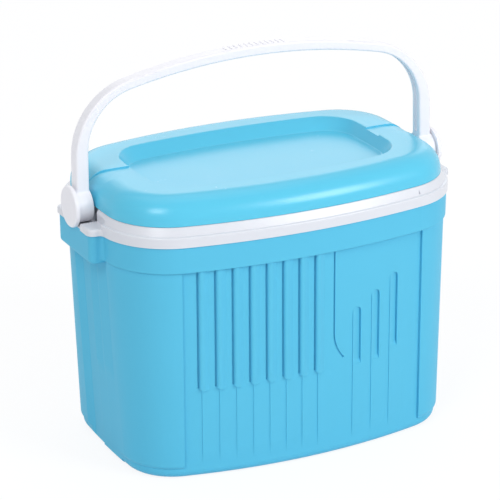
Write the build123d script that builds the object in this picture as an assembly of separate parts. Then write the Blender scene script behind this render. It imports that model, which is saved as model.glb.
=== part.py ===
"""Hard-sided cool box: insulated tub, lift-off insulated lid and a carrying bail that swings over it.

X runs along the box, the front long side faces -Y, +Z is up.
The origin is the centre of the underside, in the plane that the box stands on.
"""
from build123d import *
from math import cos, pi, radians, sin, sqrt
import os

os.makedirs("parts", exist_ok=True)

# Plan of the rim: a rectangle with bowed sides and large corners
RIM_HALF_X = 220.0
RIM_HALF_Y = 148.0
RIM_CORNER = 86.0
LONG_BOW = 32.6
SHORT_BOW = 7.5

# Heights
COLLAR_BOTTOM = 258.0
RIM_BOTTOM = 289.7
RIM_CREASE = 302.0
RIM_TOP = 311.4
LID_BOTTOM = 311.9
LID_TOP = 342.5
EAR_TOP = 297.5
PIVOT_Z = 311.0

# Moulded walls
SKIN = 2.2
GAP = 0.3
FILL_HOLE_RADIUS = 12.2
PLUG_DISC_RADIUS = 12.0
PLUG_DISC_THICK = 2.4

# Body shell: half sizes of the corner pads just under the collar and at the floor
PAD_TOP_X, PAD_TOP_Y, PAD_TOP_CORNER = 215.6, 143.6, 81.0
PAD_LOW_X, PAD_LOW_Y, PAD_LOW_CORNER = 205.5, 140.3, 64.0
PAD_STEP = 2.6
PAD_BOTTOM = 12.5
PAD_FOOT_ROUND = 6.0
PAD_WALL = 3.0
FOOT_ROUND = 10.0
COLLAR_INSET = 1.5
COLLAR_TAPER = 0.6
COLLAR_ROUND = 1.2
TONGUE_INSET = 3.1
TONGUE_TOP = 297.0

# Front and back relief
PANEL_HALF = 154.2
RIB_FIRST_X = -135.5
RIB_PITCH = 20.3
RIB_COUNT = 8
RIB_WIDTH = 11.8
RIB_HEIGHT = 3.6
RIB_END_Z = 110.0
RIB_END_ROUND = 5.0
RIB_SHAPE = ((0.0, 0.6), (0.07, 0.85), (0.16, 0.97), (0.28, 1.0), (0.45, 0.88), (0.7, 0.45), (1.0, 0.02))
RIB_GROOVE = (2.0, 1.7)
SEAM_SHAPE = ((0.0, 1.0), (0.08, 1.0), (1.0, 0.05))
SEAM_STEP = 0.9
SEAM_OFFSET = 3.0
SEAM_TOP_Z = 112.0
SEAM_END_Z = 16.0
SEAM_FADE = 16.0
HOOK_X = 31.3
HOOK_RADIUS = 46.0
HOOK_Z = 154.0
HOOK_SWEEP = 43.0
HOOK_WIDTH = 2.2
HOOK_DEPTH = 1.9
SLOT_FIRST_X = 56.5
SLOT_PITCH = 26.0
SLOT_WIDTH = 11.4
SLOT_DEPTH = 2.4
SLOT_FIRST_TOP = 181.5
SLOT_TOP_STEP = 16.0
SLOT_ENDS_Z = (110.0, 110.0, 120.0)
SLOT_RUN_OUT = 5.0

# End relief, for the -X end; the +X end is the same turned half round
END_NEAR_Y = -49.0
END_EDGES_Y = (2.0, -21.0)
END_FAR_Y = 48.0
END_SLOPE_Y = 34.0
END_FLOOR_STEP = 2.4
WALL_INSET = PAD_STEP + END_FLOOR_STEP + SKIN
END_STATIONS = (
    (-1.0, 0.1, 0.0),
    (20.0, 0.1, 0.0),
    (60.0, 0.7, 0.0),
    (106.0, 1.0, 0.0),
    (118.0, 2.4, -1.4),
    (259.0, 2.4, -1.4),
)

# Ears of the rim, which guard the pivots
EAR_HALF_X = 235.0
EAR_HALF_Y = 51.5
EAR_CORNER = 9.0
EAR_FLARE = 6.0
EAR_BOTTOM = 254.5
EAR_BOTTOM_ROUND = 4.5
EAR_SKIRT_INSET = 2.1
NOTCH_HALF_Y = 24.8
NOTCH_INNER_X = 203.2
NOTCH_FLOOR = 290.9
SHOULDER_X = 213.6
SHOULDER_HALF_Y = EAR_HALF_Y - 2.0
LUG_X = (209.8, 213.9)
LUG_RADIUS = 8.2
LUG_ROOT_X = 204.0
LUG_ROOT_Z = 277.0
LUG_ROOT_HALF_Y = 12.0

# Tub
OPENING_INSET = 24.0
LINER_WALL = 1.8
LINER_FLOOR_Z = 26.0
LINER_LOW_X, LINER_LOW_Y, LINER_LOW_CORNER = 181.0, 116.0, 44.0
LINER_FLANGE_Z = 300.6
LINER_FLOOR_ROUND = 9.0

# Lid
LID_INSET = 8.0
LID_DRAFT = 2.5
LID_ROUND = 28.0
TRAY_TOP_X, TRAY_TOP_Y, TRAY_TOP_CORNER = 157.0, 93.0, 48.0
TRAY_LOW_X, TRAY_LOW_Y, TRAY_LOW_CORNER = 147.0, 77.0, 36.0
TRAY_FLOOR = 328.5
TRAY_BOW = 13.0
PLUG_INSET = 27.2
PLUG_BOTTOM = 299.0
LID_FLANGE_Z = LID_BOTTOM + 0.9
LID_FLANGE_THICK = 2.0
SEAL_INSET = 20.9
SEAL_WIDTH = 2.5
SEAL_SQUEEZE_GAP = 0.1
TRAY_EDGE_ROUND = 1.6
TRAY_FLOOR_ROUND = 1.8
POCKET_X = 208.6
POCKET_RADIUS = 9.4
NOSE_INNER_X = 176.0
NOSE_END_X = 211.2
CHANNEL_HALF_Y = 16.5
CHANNEL_FALL = (
    (150.0, 1.4),
    (172.0, 1.5),
    (186.0, 1.9),
    (194.5, 3.5),
    (201.0, 6.9),
    (206.0, 12.1),
    (209.3, 18.9),
    (212.4, 31.0),
)

# Bail
BAIL_DEPTH = 18.0
ARM_INNER_X = 215.3
ARM_THICK = 15.5
ARM_LEAN = 1.6
ARCH_INNER_Z = 460.0
ARCH_OUTER_Z = 472.0
INNER_CROWN_RADIUS = 714.0
OUTER_CROWN_RADIUS = 694.0
INNER_BEND = 70.0
OUTER_BEND = 88.0
GROOVE_WIDTH = 7.5
GROOVE_DEPTH = 3.0
HUB_RADIUS = 19.6
HUB_INNER_X = 214.7
HUB_OUTER_X = 232.9
CAP_RADIUS = 24.2
CAP_THICK = 5.2
CAP_SPIGOT_RADIUS = 9.9
CAP_SPIGOT_LENGTH = 5.0
PIN_RADIUS = 5.0
PIN_CLEARANCE = 0.06
PIN_INNER_X = 209.2
PIN_HEAD_X = 225.3
PIN_HEAD_THICK = 2.2
PIN_HEAD_RADIUS = 8.4
WASHER_THICK = 0.4
HUB_BLEND = 3.0
GRIP_HALF = 44.0
GRIP_RIBS = 12
GRIP_PITCH = 6.7
GRIP_RIB = (3.2, 13.0, 1.2)


def bowed(half_x, half_y, corner, z, bow=LONG_BOW, end_bow=SHORT_BOW):
    """Rectangle with outward-bowed sides and rounded corners, at height z."""
    corner_x, corner_y = half_x, half_y
    for _ in range(20):
        corner_y = half_y - bow * (corner_x / half_x) ** 2
        corner_x = half_x - end_bow * (corner_y / half_y) ** 2
    sides = [
        ThreePointArc((-corner_x, -corner_y), (0, -half_y), (corner_x, -corner_y)),
        ThreePointArc((corner_x, -corner_y), (half_x, 0), (corner_x, corner_y)),
        ThreePointArc((corner_x, corner_y), (0, half_y), (-corner_x, corner_y)),
        ThreePointArc((-corner_x, corner_y), (-half_x, 0), (-corner_x, -corner_y)),
    ]
    sharp = make_face(Wire(sides))
    return Pos(0, 0, z) * fillet(sharp.vertices(), corner)


def rim_plan(inset, z):
    """Plan of the rim, drawn in by inset, at height z."""
    return bowed(RIM_HALF_X - inset, RIM_HALF_Y - inset, RIM_CORNER - inset, z)


def between(lower, upper):
    """Solid between two plans of the same kind."""
    return loft([lower, upper], ruled=True)


def upright(plan, height):
    """Solid that stands on a plan."""
    return extrude(plan, amount=height, dir=(0, 0, 1))


def block(low, high):
    """Axis-aligned block from its low corner to its high corner."""
    size = [b - a for a, b in zip(low, high)]
    centre = [(a + b) / 2 for a, b in zip(low, high)]
    return Pos(*centre) * Box(*size)


def edges_at(solid, z):
    """Edges of a solid that lie at height z."""
    return solid.edges().filter_by_position(Axis.Z, z - 0.01, z + 0.01)


def both_ends(solid):
    """The solid and its copy turned half round about Z."""
    return solid + Rot(0, 0, 180) * solid


def pad_size(z):
    """Half sizes and corner radius of the corner pads' surface at height z."""
    share = z / COLLAR_BOTTOM
    half_x = PAD_LOW_X + (PAD_TOP_X - PAD_LOW_X) * share
    half_y = PAD_LOW_Y + (PAD_TOP_Y - PAD_LOW_Y) * share
    corner = PAD_LOW_CORNER + (PAD_TOP_CORNER - PAD_LOW_CORNER) * share
    return half_x, half_y, corner


def pad_plan(inset, z):
    """Plan of the body at height z, drawn in by inset from the corner pads."""
    half_x, half_y, corner = pad_size(z)
    return bowed(half_x - inset, half_y - inset, corner - inset, z)


def front_y(x, inset, z=COLLAR_BOTTOM):
    """Y of the front wall's surface at x, drawn in by inset from the corner pads."""
    half_x, half_y, _ = pad_size(z)
    return -(half_y - inset - LONG_BOW * (x / (half_x - inset)) ** 2)


def end_x(y, inset, z=COLLAR_BOTTOM):
    """X of the -X end wall's surface at y, drawn in by inset from the corner pads."""
    half_x, half_y, _ = pad_size(z)
    return -(half_x - inset - SHORT_BOW * (y / (half_y - inset)) ** 2)


def front_bar(x, width, stations, shape):
    """Bar on the front wall with its steep side at x, sloping away to the wall on its +X side.

    Each station gives a height above the floor and how far the bar stands out there.
    The shape gives shares of the width and of that height.
    """
    sections = []
    for z, proud in stations:
        face_x = [x + share * width for share, _ in shape]
        rise = [max(level * proud, 0.03) for _, level in shape]
        corners = [(px, front_y(px, PAD_STEP, z) - up) for px, up in zip(face_x, rise)]
        root = [(px, front_y(px, PAD_STEP + 1.2, z)) for px in (x + width, x)]
        sections.append(Pos(0, 0, z) * make_face(Polyline(*corners, *root, close=True)))
    return loft(sections, ruled=True)


def rib_outline(x):
    """Block over one rib, with its lower left corner rounded."""
    top = COLLAR_BOTTOM + 1
    corners = [(x - 1, RIB_END_Z), (x + RIB_WIDTH, RIB_END_Z), (x + RIB_WIDTH, top), (x - 1, top)]
    face = make_face(Polyline(*corners, close=True))
    face = fillet(face.vertices().sort_by(lambda v: v.X + v.Y)[0], RIB_END_ROUND)
    return extrude(Plane.XZ * face, amount=RIM_HALF_Y, dir=(0, -1, 0))


def bar_with_round_end(x, width, z_flat, z_round):
    """Bar that crosses the front wall, flat at z_flat and half round at z_round."""
    half = width / 2
    bend_z = z_round + half if z_round < z_flat else z_round - half
    bar = block((x, -RIM_HALF_Y, min(z_flat, bend_z)), (x + width, -90, max(z_flat, bend_z)))
    length = RIM_HALF_Y - 90
    return bar + Pos(x + half, -RIM_HALF_Y + length / 2, bend_z) * Rot(90, 0, 0) * Cylinder(half, length)


def end_bar(y, width):
    """Bar on the -X end wall: steep on its +Y side, sloping away on its -Y side."""
    root = PAD_STEP + END_FLOOR_STEP + 0.6
    sections = []
    for z, proud, low in END_STATIONS:
        corners = [
            (end_x(y, root, z), y),
            (end_x(y, PAD_STEP, z) - proud, y),
            (end_x(y - 2, PAD_STEP, z) - proud, y - 2),
            (end_x(y - width, PAD_STEP, z) - low, y - width),
            (end_x(y - width, root, z), y - width),
        ]
        sections.append(Pos(0, 0, z) * make_face(Polyline(*corners, close=True)))
    return loft(sections, ruled=True)


def end_window():
    """Space of the relief in the -X end wall, down to the recess floor."""
    outer_x = -RIM_HALF_X
    sections = []
    for z in (-1, COLLAR_BOTTOM + 1):
        floor_inset = PAD_STEP + END_FLOOR_STEP
        corners = [
            (outer_x, END_NEAR_Y),
            (end_x(END_NEAR_Y, floor_inset, z), END_NEAR_Y),
            (end_x(0, floor_inset, z), 0),
            (end_x(END_SLOPE_Y, floor_inset, z), END_SLOPE_Y),
            (end_x(END_FAR_Y, 0, z), END_FAR_Y),
            (outer_x, END_FAR_Y),
        ]
        sections.append(Pos(0, 0, z) * make_face(Polyline(*corners, close=True)))
    return between(*sections)


def front_relief():
    """Raised pieces of one long side: ribs, with fine seams below them and below the slots."""
    top = COLLAR_BOTTOM + 1
    seam_low = ((SEAM_END_Z, 0.05), (SEAM_END_Z + SEAM_FADE, SEAM_STEP))
    pieces = []
    for i in range(RIB_COUNT):
        x = RIB_FIRST_X + i * RIB_PITCH
        rib = front_bar(x, RIB_WIDTH, ((RIB_END_Z, RIB_HEIGHT), (top, RIB_HEIGHT)), RIB_SHAPE)
        pieces.append(rib & rib_outline(x))
        seam = seam_low + ((SEAM_TOP_Z - 5, SEAM_STEP), (SEAM_TOP_Z, 0.05))
        pieces.append(front_bar(x + SEAM_OFFSET, RIB_PITCH - 2, seam, SEAM_SHAPE))
    for i in range(3):
        x = SLOT_FIRST_X + i * SLOT_PITCH
        crown = SLOT_FIRST_TOP + i * SLOT_TOP_STEP
        seam = seam_low + ((crown - 7, SEAM_STEP), (crown - 2, 0.05))
        pieces.append(front_bar(x, SLOT_PITCH - 2, seam, SEAM_SHAPE))
    return pieces


def hook_cut():
    """Groove that runs down from the collar and curls under the slots."""
    bend = HOOK_X + HOOK_RADIUS
    end_x_at = bend - HOOK_RADIUS * cos(radians(HOOK_SWEEP))
    end_z = HOOK_Z - HOOK_RADIUS * sin(radians(HOOK_SWEEP))
    mid = radians(HOOK_SWEEP / 2)
    arc = ThreePointArc(
        (HOOK_X, HOOK_Z),
        (bend - HOOK_RADIUS * cos(mid), HOOK_Z - HOOK_RADIUS * sin(mid)),
        (end_x_at, end_z),
    )
    path = Wire([Line((HOOK_X, COLLAR_BOTTOM + 2), (HOOK_X, HOOK_Z)), arc])
    outline = offset(path, amount=HOOK_WIDTH / 2, side=Side.BOTH)
    face = make_face(outline)
    sheet = Plane.XZ * face
    return extrude(sheet, amount=PAD_TOP_Y + 10, dir=(0, -1, 0)) & front_skin(HOOK_DEPTH)


def front_skin(depth):
    """Layer of the panel's surface, depth thick, over the front half."""
    outer = between(pad_plan(PAD_STEP - 1, 0), pad_plan(PAD_STEP - 1, COLLAR_BOTTOM))
    inner = between(pad_plan(PAD_STEP + depth, 0), pad_plan(PAD_STEP + depth, COLLAR_BOTTOM))
    half = block((-PANEL_HALF, -RIM_HALF_Y, 0), (PANEL_HALF, 0, COLLAR_BOTTOM))
    return (outer - inner) & half


def slot_floor(left, foot_z, crown):
    """Space above a slot's floor, which dips from the seam on its left to a wall on its right."""
    right = left + SLOT_WIDTH
    sections = []
    for z, depth in ((foot_z, 0.1), (foot_z + SLOT_RUN_OUT, SLOT_DEPTH), (crown + 1, SLOT_DEPTH)):
        corners = [
            (left, front_y(left, PAD_STEP - 4, z)),
            (left, front_y(left, PAD_STEP - SEAM_STEP, z)),
            (right, front_y(right, PAD_STEP + depth, z)),
            (right, front_y(right, PAD_STEP - 4, z)),
        ]
        sections.append(Pos(0, 0, z) * make_face(Polyline(*corners, close=True)))
    return loft(sections, ruled=True)


def rib_grooves():
    """Grooves of one long side, one along the steep side of each rib."""
    width, depth = RIB_GROOVE
    skin = front_skin(depth)
    lefts = [RIB_FIRST_X + i * RIB_PITCH - width for i in range(RIB_COUNT)]
    return [bar_with_round_end(x, width, COLLAR_BOTTOM + 1, RIB_END_Z + 3) & skin for x in lefts]


def front_slots():
    """Round-topped recesses of one long side."""
    slots = []
    for i, foot_z in enumerate(SLOT_ENDS_Z):
        left = SLOT_FIRST_X + i * SLOT_PITCH
        crown = SLOT_FIRST_TOP + i * SLOT_TOP_STEP
        slots.append(bar_with_round_end(left, SLOT_WIDTH, foot_z, crown) & slot_floor(left, foot_z, crown))
    return slots


def ear_rectangle(inset, z):
    """Plan of the bar through both ears, drawn in by inset."""
    width, depth = 2 * (EAR_HALF_X - inset), 2 * (EAR_HALF_Y - inset)
    return Pos(0, 0, z) * RectangleRounded(width, depth, EAR_CORNER - inset / 2)


def ear_flare(inset, z):
    """Plan of the soft inside corner beside the +X ear, on its +Y side."""
    edge_y = EAR_HALF_Y - inset
    wall_x = RIM_HALF_X - inset - SHORT_BOW * (edge_y / (RIM_HALF_Y - inset)) ** 2 - 0.1
    radius = EAR_FLARE
    square = Pos(wall_x + radius / 2 - 1, edge_y + radius / 2 - 1) * Rectangle(radius + 2, radius + 2)
    hollow = Pos(wall_x + radius, edge_y + radius) * Circle(radius)
    return Pos(0, 0, z) * (square - hollow)


def rim_and_ears(inset, z):
    """Plan of the rim with its ears, which flare where they join it."""
    flare = ear_flare(inset, z)
    flares = flare + mirror(flare, about=Plane.XZ)
    flares = flares + mirror(flares, about=Plane.YZ)
    return rim_plan(inset, z) + ear_rectangle(inset, z) + flares


def notch_cut(z_low, z_high, half_y=NOTCH_HALF_Y, inner_x=NOTCH_INNER_X, outer_x=EAR_HALF_X + 5):
    """Blocks that clear the hubs at both ends."""
    right = block((inner_x, -half_y, z_low), (outer_x, half_y, z_high))
    return right + mirror(right, about=Plane.YZ)


def ear_gap_cut(z_high):
    """Blocks that clear the whole width of the ears, above the collar."""
    return notch_cut(RIM_BOTTOM - GAP, z_high, half_y=EAR_HALF_Y + EAR_FLARE, inner_x=195)


def body_shell():
    """Outer skin of the tub, with its collar, corner pads and relief."""
    wall = between(pad_plan(PAD_STEP, 0), pad_plan(PAD_STEP, COLLAR_BOTTOM + 1))
    wall = fillet(edges_at(wall, 0), FOOT_ROUND)

    foot_space = between(pad_plan(0, 0), pad_plan(0, COLLAR_BOTTOM + 1))
    foot_space = fillet(edges_at(foot_space, 0), FOOT_ROUND + PAD_STEP)

    pads = between(pad_plan(0, PAD_BOTTOM), pad_plan(0, COLLAR_BOTTOM + 1))
    pads = fillet(edges_at(pads, PAD_BOTTOM), PAD_FOOT_ROUND)
    window = block((-PANEL_HALF, -RIM_HALF_Y, 0), (PANEL_HALF, RIM_HALF_Y, COLLAR_BOTTOM + 2))
    body = wall + (pads - window) - both_ends(end_window())

    for piece in front_relief():
        body = body + piece + Rot(0, 0, 180) * piece
    for y, width in zip(END_EDGES_Y, (END_EDGES_Y[0] - END_EDGES_Y[1], END_EDGES_Y[1] - END_NEAR_Y)):
        bar = end_bar(y, width) & foot_space
        body = body + bar + Rot(0, 0, 180) * bar
    for cut in front_slots() + rib_grooves() + [hook_cut()]:
        body = body - cut - Rot(0, 0, 180) * cut

    collar_low = rim_plan(COLLAR_INSET + COLLAR_TAPER, COLLAR_BOTTOM)
    collar_high = rim_plan(COLLAR_INSET, RIM_BOTTOM - GAP)
    collar = between(collar_low, collar_high)
    collar = fillet(edges_at(collar, COLLAR_BOTTOM), COLLAR_ROUND)
    ears = upright(ear_rectangle(EAR_SKIRT_INSET, EAR_BOTTOM), 10)
    ears = fillet(edges_at(ears, EAR_BOTTOM), EAR_BOTTOM_ROUND)
    flare_z = COLLAR_BOTTOM + COLLAR_ROUND + 0.1
    flared = upright(rim_and_ears(EAR_SKIRT_INSET, flare_z), RIM_BOTTOM - GAP - flare_z)
    collar = collar + ears + flared
    tongue_z = COLLAR_BOTTOM + 4
    tongue = upright(rim_plan(TONGUE_INSET, tongue_z), TONGUE_TOP - tongue_z)
    tongue = tongue - ear_gap_cut(300)
    body = body + collar + tongue

    hollow = between(pad_plan(WALL_INSET, SKIN), pad_plan(WALL_INSET, COLLAR_BOTTOM + 5))
    hollow = hollow + upright(rim_plan(TONGUE_INSET + 2.5, COLLAR_BOTTOM + 5), 60)
    hollow = hollow + upright(ear_rectangle(EAR_SKIRT_INSET + SKIN, EAR_BOTTOM + SKIN + 1), 60)
    body = body - hollow - pad_hollows(0)
    recess = bowed(PAD_LOW_X - 30, PAD_LOW_Y - 28, 40, 0)
    plate = upright(recess, 1.6)
    boss = upright(bowed(PAD_LOW_X - 33, PAD_LOW_Y - 31, 37, SKIN - 0.1), 1.7)
    body = body + boss - plate
    return body - Pos(0, 0, 2) * Cylinder(FILL_HOLE_RADIUS, 10)


def pad_hollows(gap):
    """Spaces behind the four corner pads, which keep their walls as thin as the rest."""
    inset = PAD_WALL + gap
    low_z, high_z = PAD_BOTTOM + PAD_FOOT_ROUND + gap, COLLAR_BOTTOM - PAD_WALL - gap
    corners = between(pad_plan(inset, low_z), pad_plan(inset, high_z))
    across = PANEL_HALF + PAD_WALL + gap
    along = -END_NEAR_Y + PAD_WALL + gap
    corners = corners - block((-across, -RIM_HALF_Y, 0), (across, RIM_HALF_Y, RIM_BOTTOM))
    return corners - block((-RIM_HALF_X, -along, 0), (RIM_HALF_X, along, RIM_BOTTOM))


def shell_hollow(gap):
    """Space inside the body skin, drawn in by gap."""
    inset = WALL_INSET + gap
    low = between(pad_plan(inset, SKIN + 1.8 + gap), pad_plan(inset, COLLAR_BOTTOM + 5 + gap))
    high = upright(rim_plan(TONGUE_INSET + 2.5 + gap, COLLAR_BOTTOM + 5), RIM_BOTTOM - COLLAR_BOTTOM - 5.3)
    ear_low = EAR_BOTTOM + SKIN + 1 + gap
    ears = upright(ear_rectangle(EAR_SKIRT_INSET + SKIN + gap, ear_low), RIM_BOTTOM - GAP - ear_low)
    return low + high + ears + pad_hollows(gap)


def liner_outer(gap):
    """Outside of the tub liner, grown by gap, closed at the top."""
    lower = bowed(
        LINER_LOW_X + LINER_WALL + gap,
        LINER_LOW_Y + LINER_WALL + gap,
        LINER_LOW_CORNER + LINER_WALL + gap,
        LINER_FLOOR_Z - LINER_WALL - gap,
    )
    upper = rim_plan(OPENING_INSET - gap, LINER_FLANGE_Z + 0.01)
    return between(lower, upper)


def body_insulation():
    """Foam between the skin and the liner."""
    foam = shell_hollow(GAP)
    neck = upright(rim_plan(8.0, RIM_BOTTOM - 6), LINER_FLANGE_Z - GAP - RIM_BOTTOM + 6)
    foam = foam + (neck - ear_gap_cut(320))
    roots = lug_root(GAP)
    return foam - liner_outer(GAP) - roots - mirror(roots, about=Plane.YZ)


def inner_liner():
    """White tub that holds the contents."""
    outer = liner_outer(0)
    lower = bowed(LINER_LOW_X, LINER_LOW_Y, LINER_LOW_CORNER, LINER_FLOOR_Z)
    upper = rim_plan(OPENING_INSET + LINER_WALL, LINER_FLANGE_Z + 5)
    inner = between(lower, upper)
    inner = fillet(edges_at(inner, LINER_FLOOR_Z), LINER_FLOOR_ROUND)
    flange = upright(rim_plan(7.5, LINER_FLANGE_Z), LINER_WALL)
    flange = flange - notch_cut(280, 320, half_y=NOTCH_HALF_Y + 4, inner_x=199.5)
    shoulder_half_y = SHOULDER_HALF_Y + SKIN + GAP
    flange = flange - notch_cut(280, 320, half_y=shoulder_half_y, inner_x=SHOULDER_X - SKIN - GAP)
    return outer + flange - inner


def rim_ring():
    """White rim over the top edge of the tub, with the ears and the pivot lugs."""
    band = upright(rim_plan(0, RIM_BOTTOM), RIM_CREASE - RIM_BOTTOM)
    band = fillet(edges_at(band, RIM_CREASE), 2.0)
    band = fillet(edges_at(band, RIM_BOTTOM), 1.0)
    ears = upright(rim_and_ears(0, RIM_BOTTOM), EAR_TOP - RIM_BOTTOM)
    ears = fillet(edges_at(ears, EAR_TOP), 2.4)
    slope = between(rim_plan(3.0, RIM_CREASE - 1), rim_plan(LID_INSET, RIM_TOP))
    ring = band + ears + slope

    channel = upright(rim_plan(2.8, RIM_BOTTOM - 1), RIM_CREASE - RIM_BOTTOM)
    channel = channel + between(rim_plan(5.8, RIM_CREASE - 1), rim_plan(LID_INSET + 2.2, RIM_TOP - SKIN))
    channel = channel - upright(rim_plan(OPENING_INSET - SKIN, RIM_BOTTOM - 2), 40)
    channel = channel - notch_cut(280, 330, half_y=NOTCH_HALF_Y + SKIN, inner_x=NOTCH_INNER_X - SKIN)
    shoulder_half_y = SHOULDER_HALF_Y + SKIN
    channel = channel - notch_cut(EAR_TOP - SKIN, 330, half_y=shoulder_half_y, inner_x=SHOULDER_X - SKIN)
    lip_low_z, lip_high_z = RIM_BOTTOM - 2, LINER_FLANGE_Z + LINER_WALL + 0.6
    low_lip = upright(rim_plan(OPENING_INSET - SKIN - 0.1, lip_low_z), lip_high_z - lip_low_z)
    opening = upright(rim_plan(OPENING_INSET, RIM_BOTTOM - 3), 40)
    ring = ring - channel - low_lip - opening
    pocket = block((RIM_HALF_X - 12, NOTCH_HALF_Y + SKIN, 280), (EAR_HALF_X, EAR_HALF_Y, EAR_TOP - SKIN))
    pocket = pocket & upright(ear_rectangle(SKIN, 279), 40)
    pockets = pocket + mirror(pocket, about=Plane.XZ)
    ring = ring - pockets - mirror(pockets, about=Plane.YZ)

    ring = ring - notch_cut(NOTCH_FLOOR, 330)
    ring = ring - notch_cut(RIM_BOTTOM - 1, 330, inner_x=EAR_HALF_X - EAR_SKIRT_INSET)
    ring = ring - notch_cut(EAR_TOP, 330, half_y=SHOULDER_HALF_Y, inner_x=SHOULDER_X)
    lug = pivot_lug()
    ring = ring + lug + mirror(lug, about=Plane.YZ)
    for corner_x, corner_y in ((149, -1), (-149, 1)):
        y = corner_y * -front_y(corner_x, -2.5)
        ring = ring - Pos(corner_x, y, (RIM_CREASE + RIM_TOP) / 2 + 1) * Box(2.0, 9.6, RIM_TOP - RIM_CREASE)
    return ring


def pivot_lug():
    """Lug that carries the pin at the +X end, on a root that goes down into the foam."""
    inner, outer = LUG_X
    middle = (inner + outer) / 2
    across = Pos(middle, 0, PIVOT_Z) * Rot(0, 90, 0)
    plate = block((inner, -LUG_RADIUS, NOTCH_FLOOR - 0.5), (outer, LUG_RADIUS, PIVOT_Z))
    head = across * Cylinder(LUG_RADIUS, outer - inner)
    brace = Polyline(
        (LUG_ROOT_X, NOTCH_FLOOR - 0.5),
        (inner + 1, NOTCH_FLOOR - 0.5),
        (inner + 1, PIVOT_Z - 6),
        (LUG_ROOT_X, NOTCH_FLOOR + 4),
        close=True,
    )
    brace = Pos(0, 3, 0) * extrude(Plane.XZ * make_face(brace), amount=6, dir=(0, -1, 0))
    bore = across * Cylinder(PIN_RADIUS + 0.02, 20)
    return plate + head + brace + lug_root(0) - bore


def lug_root(gap):
    """Block under the +X lug, grown by gap."""
    low = (LUG_ROOT_X - gap, -LUG_ROOT_HALF_Y - gap, LUG_ROOT_Z - gap)
    return block(low, (LUG_X[1] + gap, LUG_ROOT_HALF_Y + gap, NOTCH_FLOOR - 0.2))


def base_plug():
    """Disc that closes the foam filling hole under the tub."""
    plug = Pos(0, 0, 3.0) * Cylinder(PLUG_DISC_RADIUS, PLUG_DISC_THICK)
    return plug + Pos(0, 0, 2.2) * Cylinder(9.0, 1.0)


def tray(grow, floor_drop):
    """Dished recess in the top of the lid, grown sideways by grow and down by floor_drop."""
    lower = bowed(
        TRAY_LOW_X + grow, TRAY_LOW_Y + grow, TRAY_LOW_CORNER + grow, TRAY_FLOOR - floor_drop, TRAY_BOW, 4
    )
    upper = bowed(TRAY_TOP_X + grow, TRAY_TOP_Y + grow, TRAY_TOP_CORNER + grow, LID_TOP + 2, TRAY_BOW, 4)
    return between(lower, upper)


def handle_channel(grow, drop_by):
    """Space over the strip in each end of the lid that runs from the tray to the hub."""
    falls = [(x - grow, LID_TOP - depth - drop_by) for x, depth in CHANNEL_FALL]
    above = LID_TOP + 5
    outside = Polyline(
        falls[-1],
        (RIM_HALF_X, falls[-1][1]),
        (RIM_HALF_X, above),
        (falls[0][0], above),
        falls[0],
    )
    section = Plane.XZ * make_face(Spline(*falls) + outside)
    half = CHANNEL_HALF_Y + grow
    bar = Pos(0, half, 0) * extrude(section, amount=2 * half, dir=(0, -1, 0))
    return bar + mirror(bar, about=Plane.YZ)


def lid_noses():
    """Blocks that fill the strips out to the hubs, before the space over them is cut."""
    low = (NOSE_INNER_X, -CHANNEL_HALF_Y, LID_BOTTOM)
    nose = block(low, (NOSE_END_X, CHANNEL_HALF_Y, LID_TOP - 1))
    return nose + mirror(nose, about=Plane.YZ)


def lug_pocket(grow):
    """Round-headed pocket in each end of the lid that clears the lug, grown by grow."""
    depth = RIM_HALF_X + 5 - POCKET_X
    radius = POCKET_RADIUS + grow
    centre_x = POCKET_X - grow + depth / 2
    head = Pos(centre_x, 0, PIVOT_Z) * Rot(0, 90, 0) * Cylinder(radius, depth)
    foot = block((POCKET_X - grow, -radius, PIVOT_Z - 30), (POCKET_X - grow + depth, radius, PIVOT_Z))
    pocket = head + foot
    return pocket + mirror(pocket, about=Plane.YZ)


def dome(skin, z_low, z_high):
    """Outside of the lid drawn in by skin, with a rounded top edge."""
    slope = LID_DRAFT / (LID_TOP - LID_BOTTOM)
    low_plan = rim_plan(LID_INSET + skin + slope * (z_low - LID_BOTTOM), z_low)
    high_plan = rim_plan(LID_INSET + skin + slope * (z_high - LID_BOTTOM), z_high)
    solid = between(low_plan, high_plan)
    return fillet(edges_at(solid, z_high), LID_ROUND - skin)


def lid_shell():
    """Blue top of the lid, a domed skin with a tray and handle dips."""
    outer = dome(0, LID_BOTTOM, LID_TOP)
    outer = outer - tray(0, 0)
    outer = fillet(edges_at(outer, TRAY_FLOOR), TRAY_FLOOR_ROUND)
    tray_edges = [e for e in edges_at(outer, LID_TOP) if abs(e.center().X) < TRAY_TOP_X + 1]
    tray_edges = [e for e in tray_edges if abs(e.center().Y) < TRAY_TOP_Y + 1]
    outer = fillet(tray_edges, TRAY_EDGE_ROUND)
    outer = outer + lid_noses() - handle_channel(0, 0) - lug_pocket(0)
    return outer - lid_hollow(0)


def lid_hollow(gap):
    """Space inside the lid skin, drawn in by gap."""
    hollow = dome(SKIN + gap, LID_BOTTOM - 5, LID_TOP - SKIN - gap)
    hollow = hollow - tray(SKIN + gap, SKIN + gap)
    hollow = hollow - handle_channel(SKIN + gap, SKIN + gap)
    return hollow - lug_pocket(SKIN + gap)


def lid_liner():
    """White underside of the lid, whose plug sits inside the tub's mouth."""
    flange = upright(rim_plan(LID_INSET + SKIN + 0.8, LID_FLANGE_Z), LID_FLANGE_THICK)
    flange = flange - lug_pocket(SKIN + GAP)
    plug = upright(rim_plan(PLUG_INSET, PLUG_BOTTOM), LID_FLANGE_Z + 1 - PLUG_BOTTOM)
    plug = fillet(edges_at(plug, PLUG_BOTTOM), 3)
    inner = upright(rim_plan(PLUG_INSET + LID_FLANGE_THICK, PLUG_BOTTOM + LID_FLANGE_THICK), 30)
    return flange + plug - inner - Pos(0, 0, PLUG_BOTTOM) * Cylinder(FILL_HOLE_RADIUS, 10)


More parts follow.
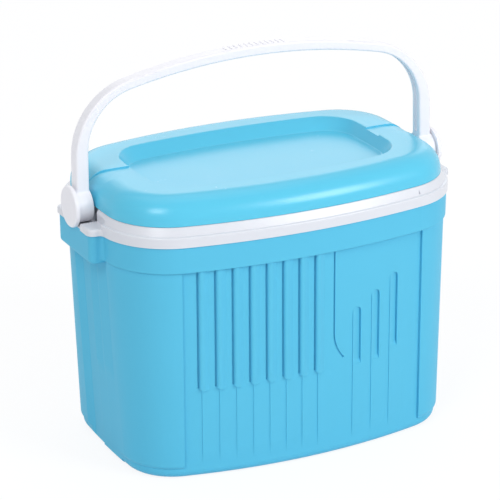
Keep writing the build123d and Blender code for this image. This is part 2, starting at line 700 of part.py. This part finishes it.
def lid_insulation():
    """Foam inside the lid."""
    flange_high = LID_FLANGE_Z + LID_FLANGE_THICK
    upper = lid_hollow(GAP) & upright(rim_plan(0, flange_high + GAP), 40)
    step = LID_FLANGE_THICK + GAP
    lower = upright(rim_plan(PLUG_INSET + step, PLUG_BOTTOM + step), flange_high - PLUG_BOTTOM)
    return upper + lower - Pos(0, 0, PLUG_BOTTOM) * Cylinder(FILL_HOLE_RADIUS, 10)


def lid_seal():
    """Flat gasket under the lid's edge."""
    low_z = RIM_TOP + SEAL_SQUEEZE_GAP
    strip = upright(rim_plan(SEAL_INSET, low_z), LID_FLANGE_Z - low_z)
    return strip - upright(rim_plan(SEAL_INSET + SEAL_WIDTH, RIM_TOP - 1), 5)


def lid_plug():
    """Disc that closes the foam filling hole under the lid."""
    return Pos(0, 0, PLUG_BOTTOM + 1.4) * Cylinder(PLUG_DISC_RADIUS, PLUG_DISC_THICK)


def bail_view(foot_x, crown_z, crown_radius, corner):
    """Front view of all that lies under one edge of the bail."""
    top_x = foot_x - ARM_LEAN
    side_z = crown_z - crown_radius + sqrt(crown_radius**2 - top_x**2)
    edge = [
        Line((-foot_x, PIVOT_Z), (-top_x, side_z)),
        ThreePointArc((-top_x, side_z), (0, crown_z), (top_x, side_z)),
        Line((top_x, side_z), (foot_x, PIVOT_Z)),
        Line((foot_x, PIVOT_Z), (-foot_x, PIVOT_Z)),
    ]
    face = make_face(Wire(edge))
    return fillet(face.vertices().sort_by(Axis.Y)[-2:], corner)


def bail_bar(depth, cut_back=0.0):
    """Bail without its hubs, with its inner edge moved outward by cut_back."""
    outer = bail_view(ARM_INNER_X + ARM_THICK, ARCH_OUTER_Z, OUTER_CROWN_RADIUS, OUTER_BEND)
    inner = bail_view(ARM_INNER_X + cut_back, ARCH_INNER_Z + cut_back, INNER_CROWN_RADIUS, INNER_BEND)
    shape = Plane.XZ * (outer - inner)
    return Pos(0, depth / 2, 0) * extrude(shape, amount=depth, dir=(0, -1, 0))


def soften_hubs(bar):
    """The bail with soft inside corners where the flat sides of its arms leave the hubs."""
    low, high = PIVOT_Z + HUB_RADIUS * 0.55, PIVOT_Z + HUB_RADIUS
    joints = bar.edges().filter_by(GeomType.LINE).filter_by_position(Axis.Z, low, high)
    return fillet([e for e in joints if 5 < e.length < ARM_THICK], HUB_BLEND)


def handle_bail():
    """Carrying bail: two arms with hubs, joined by a shallow arch with a ribbed grip."""
    bar = bail_bar(BAIL_DEPTH)
    long_edges = [e for e in bar.edges() if abs(abs(e.center().Y) - BAIL_DEPTH / 2) < 0.01]
    long_edges = [e for e in long_edges if e.center().Z > PIVOT_Z + 1]
    bar = fillet(long_edges, 2.6)
    grooves = bail_bar(GROOVE_WIDTH) - bail_bar(GROOVE_WIDTH, GROOVE_DEPTH)
    reach = block((GRIP_HALF + 16, -BAIL_DEPTH, 334), (ARM_INNER_X + 20, BAIL_DEPTH, 480))
    bar = bar - (grooves & (reach + mirror(reach, about=Plane.YZ)))
    hub_mid = (HUB_INNER_X + HUB_OUTER_X) / 2
    hub = Cylinder(HUB_RADIUS, HUB_OUTER_X - HUB_INNER_X)
    hub = fillet(hub.edges().sort_by(Axis.Z)[-1], 1.0)
    for side in (-1, 1):
        bar = bar + Pos(side * hub_mid, 0, PIVOT_Z) * Rot(0, 90 * side, 0) * hub
    bar = soften_hubs(bar)
    well_depth = HUB_OUTER_X - PIN_HEAD_X + 0.3
    bore = Cylinder(PIN_RADIUS + PIN_CLEARANCE, 60)
    well = Cylinder(CAP_SPIGOT_RADIUS + 0.05, well_depth + 0.02)
    for side in (-1, 1):
        well_mid = side * (HUB_OUTER_X - well_depth / 2)
        bar = bar - Pos(side * hub_mid, 0, PIVOT_Z) * Rot(0, 90, 0) * bore
        bar = bar - Pos(well_mid, 0, PIVOT_Z) * Rot(0, 90, 0) * well
    for i in range(GRIP_RIBS):
        angle = (i - (GRIP_RIBS - 1) / 2) * GRIP_PITCH / OUTER_CROWN_RADIUS
        x = OUTER_CROWN_RADIUS * sin(angle)
        z = ARCH_OUTER_Z - OUTER_CROWN_RADIUS * (1 - cos(angle))
        bar = bar + Pos(x, 0, z) * Rot(0, angle * 180 / pi, 0) * Box(*GRIP_RIB)
    return bar


def hub_cap(side):
    """Round cover on the outside of a hub, with the spigot that holds it."""
    disc = Cylinder(CAP_RADIUS, CAP_THICK)
    disc = fillet(disc.edges().sort_by(Axis.Z)[-1], 2.2)
    spigot = Cylinder(CAP_SPIGOT_RADIUS, CAP_SPIGOT_LENGTH)
    spigot = Pos(0, 0, -(CAP_THICK + CAP_SPIGOT_LENGTH) / 2) * spigot
    centre_x = side * (HUB_OUTER_X + 0.5 + CAP_THICK / 2)
    return Pos(centre_x, 0, PIVOT_Z) * Rot(0, 90 * side, 0) * (disc + spigot)


def pivot_pin(side):
    """Headed pin, fast in the lug, that the hub turns on; the cap covers its head."""
    length = PIN_HEAD_X - PIN_INNER_X
    shank = Cylinder(PIN_RADIUS, length)
    head = Pos(0, 0, (length + PIN_HEAD_THICK) / 2) * Cylinder(PIN_HEAD_RADIUS, PIN_HEAD_THICK)
    centre_x = side * (PIN_INNER_X + length / 2)
    return Pos(centre_x, 0, PIVOT_Z) * Rot(0, 90 * side, 0) * (shank + head)


def pivot_washer(side):
    """Thin washer between the lug and the hub."""
    ring = Cylinder(LUG_RADIUS, WASHER_THICK) - Cylinder(PIN_RADIUS + 0.1, 1)
    return Pos(side * (LUG_X[1] + HUB_INNER_X) / 2, 0, PIVOT_Z) * Rot(0, 90, 0) * ring


def save(name, solid):
    export_step(solid, f"parts/{name}.step")


save("body_shell", body_shell())
save("body_insulation", body_insulation())
save("inner_liner", inner_liner())
save("rim_ring", rim_ring())
save("base_plug", base_plug())
save("lid_shell", lid_shell())
save("lid_insulation", lid_insulation())
save("lid_liner", lid_liner())
save("lid_seal", lid_seal())
save("lid_plug", lid_plug())
save("handle_bail", handle_bail())
for side_name, side_sign in (("left", -1), ("right", 1)):
    save(f"hub_cap_{side_name}", hub_cap(side_sign))
    save(f"pivot_pin_{side_name}", pivot_pin(side_sign))
    save(f"pivot_washer_{side_name}", pivot_washer(side_sign))
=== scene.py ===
import bpy
from mathutils import Matrix, Vector

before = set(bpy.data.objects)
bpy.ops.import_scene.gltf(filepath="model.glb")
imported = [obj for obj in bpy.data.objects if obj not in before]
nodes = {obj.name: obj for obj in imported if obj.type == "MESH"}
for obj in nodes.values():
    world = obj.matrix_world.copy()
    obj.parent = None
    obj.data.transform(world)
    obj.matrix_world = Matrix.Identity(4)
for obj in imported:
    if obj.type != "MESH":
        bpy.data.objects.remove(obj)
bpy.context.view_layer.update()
scene = bpy.context.scene


# Camera

EYE = (-1.23166, -2.56190, 1.28779)
EYE_RIGHT = (0.90057, -0.43455, -0.01158)
EYE_UP = (0.16296, 0.31280, 0.93574)
LENS_MM = 183.38
SENSOR_MM = 36.0
FAR_CLIP = 50.0


def aim_camera():
    """A long lens, in front of the box, to its left and a little above it."""
    camera = bpy.data.objects.new("camera", bpy.data.cameras.new("camera"))
    right = Vector(EYE_RIGHT).normalized()
    up = Vector(EYE_UP).normalized()
    back = right.cross(up).normalized()
    up = back.cross(right)
    turn = Matrix((right, up, back)).transposed().to_4x4()
    camera.matrix_world = Matrix.Translation(EYE) @ turn
    camera.data.sensor_width = SENSOR_MM
    camera.data.lens = LENS_MM
    camera.data.clip_end = FAR_CLIP
    scene.collection.objects.link(camera)
    scene.camera = camera


aim_camera()


# Materials

class Signal:
    """A number that runs through a material; sums on it add the nodes they need."""

    def __init__(self, finish, socket):
        self.finish = finish
        self.socket = socket

    def sum(self, operation, first, second):
        """One step of sums on two signals or numbers."""
        values = {0: first, 1: second}
        return self.finish.node("ShaderNodeMath", {"operation": operation}, values)

    def __add__(self, other):
        return self.sum("ADD", self, other)

    def __radd__(self, other):
        return self.sum("ADD", other, self)

    def __mul__(self, other):
        return self.sum("MULTIPLY", self, other)

    def __rmul__(self, other):
        return self.sum("MULTIPLY", other, self)

    def above(self, level, soft):
        """0 below the level, rising to 1 over the soft width."""
        settings = {"interpolation_type": "SMOOTHSTEP"}
        values = {"Value": self, "From Min": level, "From Max": level + soft}
        return self.finish.node("ShaderNodeMapRange", settings, values)


class Nodes:
    """The nodes of a material or of the surroundings."""

    def __init__(self, tree):
        self.tree = tree
        self.tree.nodes.clear()

    def node(self, kind, settings=None, values=None, output=0):
        """Adds a node, with its settings first and then its values or links; gives one output."""
        made = self.tree.nodes.new(kind)
        for key, value in (settings or {}).items():
            setattr(made, key, value)
        for key, value in (values or {}).items():
            if isinstance(value, Signal):
                self.tree.links.new(value.socket, made.inputs[key])
            else:
                made.inputs[key].default_value = value
        return Signal(self, made.outputs[output]) if made.outputs else made

    def mix(self, share, first, second):
        """Colour between two colours."""
        slots = {"Factor": share, 6: first, 7: second}
        return self.node("ShaderNodeMix", {"data_type": "RGBA"}, slots, output=2)

    def seen(self):
        """1 where the camera, a gloss or a clear thing looks straight at it, else 0."""
        camera = self.node("ShaderNodeLightPath", output="Is Camera Ray")
        gloss = self.node("ShaderNodeLightPath", output="Is Glossy Ray")
        clear = self.node("ShaderNodeLightPath", output="Is Transmission Ray")
        return camera.sum("MAXIMUM", camera.sum("MAXIMUM", camera, gloss), clear)


class Finish(Nodes):
    """A material and its nodes."""

    def __init__(self, name):
        self.material = bpy.data.materials.new(name)
        self.material.use_nodes = True
        super().__init__(self.material.node_tree)
        self.place = self.node("ShaderNodeTexCoord", output="Object")

    def noise(self, scale, detail=3.0, roughness=0.55, stretch=None, offset=(0, 0, 0)):
        """Cloudy noise, in cycles per metre along each axis."""
        place = self.place
        if stretch or any(offset):
            spread = {"Vector": place, "Scale": stretch or (1, 1, 1), "Location": offset}
            place = self.node("ShaderNodeMapping", None, spread)
        values = {"Vector": place, "Scale": scale, "Detail": detail, "Roughness": roughness}
        return self.node("ShaderNodeTexNoise", None, values)

    def bump(self, height, depth, strength, normal=None):
        """Fine relief, its depth in metres."""
        values = {"Height": height, "Distance": depth, "Strength": strength}
        if normal:
            values["Normal"] = normal
        return self.node("ShaderNodeBump", None, values)

    def surface(self, colour, roughness, normal, **fixed):
        """The shader itself; fixed values go straight on its own sockets."""
        values = {"Base Color": colour, "Roughness": roughness, "Normal": normal}
        values.update({key.replace("_", " "): value for key, value in fixed.items()})
        shader = self.node("ShaderNodeBsdfPrincipled", None, values)
        self.node("ShaderNodeOutputMaterial", None, {"Surface": shader})
        return self.material


RELIEF_DEPTH = 0.00003
SCUFF_LEVEL = 0.66
SCUFF_EDGE = 0.08
SCUFF_TINT = 0.05
PLASTIC_IOR = 1.49


def moulded_plastic(name, colour, shade, gloss, seed, level=0.5):
    """Injection-moulded polypropylene: slight clouding, a fine spark texture, faint scuffs."""
    finish = Finish(name)
    offset = (seed, seed * 0.7, seed * 1.3)
    clouds = finish.noise(7.0, detail=2.0, offset=offset)
    flow = finish.noise(22.0, detail=3.0, stretch=(1.0, 1.0, 0.25), offset=offset)
    sparks = finish.noise(1500.0, detail=2.0, roughness=0.7)
    peel = finish.noise(120.0, detail=1.0)
    scuffs = finish.noise(60.0, detail=6.0, roughness=0.75, stretch=(1.0, 1.0, 5.0), offset=offset)
    worn = scuffs.above(SCUFF_LEVEL, SCUFF_EDGE)
    tone = finish.mix(clouds * 0.6 + flow * 0.3, colour, shade)
    pale = tuple(min(1.0, c * 0.7 + 0.28) for c in colour[:3]) + (1.0,)
    tone = finish.mix(worn * SCUFF_TINT, tone, pale)
    roughness = gloss + flow * 0.06 + worn * 0.06 + sparks * 0.05
    relief = finish.bump(peel, RELIEF_DEPTH, 0.2)
    relief = finish.bump(sparks, RELIEF_DEPTH, 0.6, normal=relief)
    return finish.surface(tone, roughness, relief, IOR=PLASTIC_IOR, Specular_IOR_Level=level)


def moulded_foam(name, colour, shade):
    """Rigid polyurethane foam, closed skin with small open cells."""
    finish = Finish(name)
    values = {"Vector": finish.place, "Scale": 420.0}
    cells = finish.node("ShaderNodeTexVoronoi", {"feature": "F1"}, values)
    drift = finish.noise(14.0)
    tone = finish.mix(drift, colour, shade)
    tone = finish.mix(cells.above(0.55, 0.3) * 0.4, tone, shade)
    relief = finish.bump(cells, 0.0006, 0.7)
    return finish.surface(tone, 0.82 + drift * 0.1, relief)


def soft_rubber(name, colour, shade):
    """Matt sealing rubber with a dusty bloom."""
    finish = Finish(name)
    bloom = finish.noise(90.0, detail=5.0)
    pores = finish.noise(2200.0, detail=1.0)
    tone = finish.mix(bloom, colour, shade)
    relief = finish.bump(pores, 0.00004, 0.8)
    return finish.surface(tone, 0.62 + bloom * 0.2, relief)


def opaque(red, green, blue):
    """Colour that covers fully."""
    return (red, green, blue, 1)


blue_body = moulded_plastic(
    "blue_body",
    colour=opaque(0.112, 0.542, 0.775),
    shade=opaque(0.102, 0.520, 0.752),
    gloss=0.42,
    seed=0.3,
    level=0.18,
)
blue_lid = moulded_plastic(
    "blue_lid",
    colour=opaque(0.098, 0.575, 0.800),
    shade=opaque(0.090, 0.555, 0.780),
    gloss=0.20,
    seed=1.1,
)
white_rim = moulded_plastic(
    "white_rim",
    colour=opaque(0.735, 0.750, 0.800),
    shade=opaque(0.720, 0.735, 0.785),
    gloss=0.24,
    seed=2.3,
)
white_handle = moulded_plastic(
    "white_handle",
    colour=opaque(0.900, 0.895, 0.935),
    shade=opaque(0.880, 0.870, 0.920),
    gloss=0.28,
    seed=3.7,
)
white_liner = moulded_plastic(
    "white_liner",
    colour=opaque(0.830, 0.840, 0.860),
    shade=opaque(0.800, 0.810, 0.830),
    gloss=0.34,
    seed=4.9,
)
pin_plastic = moulded_plastic(
    "pin_plastic",
    colour=opaque(0.780, 0.780, 0.790),
    shade=opaque(0.730, 0.730, 0.750),
    gloss=0.30,
    seed=5.3,
)
foam = moulded_foam("foam", opaque(0.84, 0.79, 0.60), opaque(0.72, 0.66, 0.46))
seal_rubber = soft_rubber("seal_rubber", opaque(0.50, 0.52, 0.55), opaque(0.60, 0.62, 0.64))

FINISHES = {
    blue_body: ("body_shell", "base_plug"),
    blue_lid: ("lid_shell",),
    white_rim: ("rim_ring",),
    white_handle: ("handle_bail", "hub_cap_left", "hub_cap_right"),
    white_liner: ("inner_liner", "lid_liner", "lid_plug"),
    pin_plastic: ("pivot_pin_left", "pivot_pin_right", "pivot_washer_left", "pivot_washer_right"),
    foam: ("body_insulation", "lid_insulation"),
    seal_rubber: ("lid_seal",),
}

for finish, names in FINISHES.items():
    for name in names:
        piece = nodes[name]
        piece.data.materials.clear()
        piece.data.materials.append(finish)


# Studio

FLOOR_HALF = 9.0
FLOOR_GLOW = 1.05
FLOOR_WHITE_SHARE = 0.82
SOFT_DAYLIGHT = 0.52


def floor_material():
    """Pale floor that shows white to the camera and keeps the box's shadow."""
    finish = Finish("studio_floor")
    haze = finish.noise(1.5, detail=2.0)
    tone = finish.mix(haze, opaque(0.93, 0.93, 0.94), opaque(0.91, 0.91, 0.92))
    matt = finish.node("ShaderNodeBsdfDiffuse", None, {"Color": tone})
    glow = finish.node("ShaderNodeEmission", None, {"Color": opaque(1, 1, 1), "Strength": FLOOR_GLOW})
    share = finish.seen() * FLOOR_WHITE_SHARE
    mixed = finish.node("ShaderNodeMixShader", None, {0: share, 1: matt, 2: glow})
    finish.node("ShaderNodeOutputMaterial", None, {"Surface": mixed})
    return finish.material


def lay_floor():
    """Large plain floor under the box."""
    mesh = bpy.data.meshes.new("studio_floor")
    corners = [(x * FLOOR_HALF, y * FLOOR_HALF, 0) for x, y in ((-1, -1), (1, -1), (1, 1), (-1, 1))]
    mesh.from_pydata(corners, [], [(0, 1, 2, 3)])
    mesh.materials.append(floor_material())
    floor = bpy.data.objects.new("studio_floor", mesh)
    scene.collection.objects.link(floor)


def hang_lamp(name, place, aim_z, width, height, power):
    """Rectangular soft lamp that faces the box at height aim_z."""
    lamp = bpy.data.lights.new(name, "AREA")
    lamp.shape = "RECTANGLE"
    lamp.size = width
    lamp.size_y = height
    lamp.energy = power
    holder = bpy.data.objects.new(name, lamp)
    holder.location = place
    towards = Vector((0, 0, aim_z)) - Vector(place)
    holder.rotation_euler = towards.to_track_quat("-Z", "Y").to_euler()
    scene.collection.objects.link(holder)


def light_world():
    """Even pale surroundings, white where the camera or a gloss sees them."""
    world = bpy.data.worlds.new("studio_world")
    world.use_nodes = True
    around = Nodes(world.node_tree)
    sky = {"Color": opaque(0.95, 0.97, 1.0), "Strength": SOFT_DAYLIGHT}
    soft = around.node("ShaderNodeBackground", None, sky)
    white = around.node("ShaderNodeBackground", None, {"Color": opaque(1, 1, 1), "Strength": 1.0})
    mixed = around.node("ShaderNodeMixShader", None, {0: around.seen(), 1: soft, 2: white})
    around.node("ShaderNodeOutputWorld", None, {"Surface": mixed})
    scene.world = world


lay_floor()
light_world()
hang_lamp("key_lamp", (1.6, -2.6, 1.7), aim_z=0.2, width=1.2, height=1.2, power=42)
hang_lamp("fill_lamp", (-2.2, -1.9, 2.9), aim_z=0.25, width=1.4, height=1.4, power=38)
hang_lamp("back_lamp", (1.3, 2.8, 1.5), aim_z=0.35, width=3.0, height=1.5, power=12)
hang_lamp("top_lamp", (0.1, 0.6, 2.6), aim_z=0.3, width=2.0, height=2.0, power=7)

scene.view_settings.view_transform = "Standard"
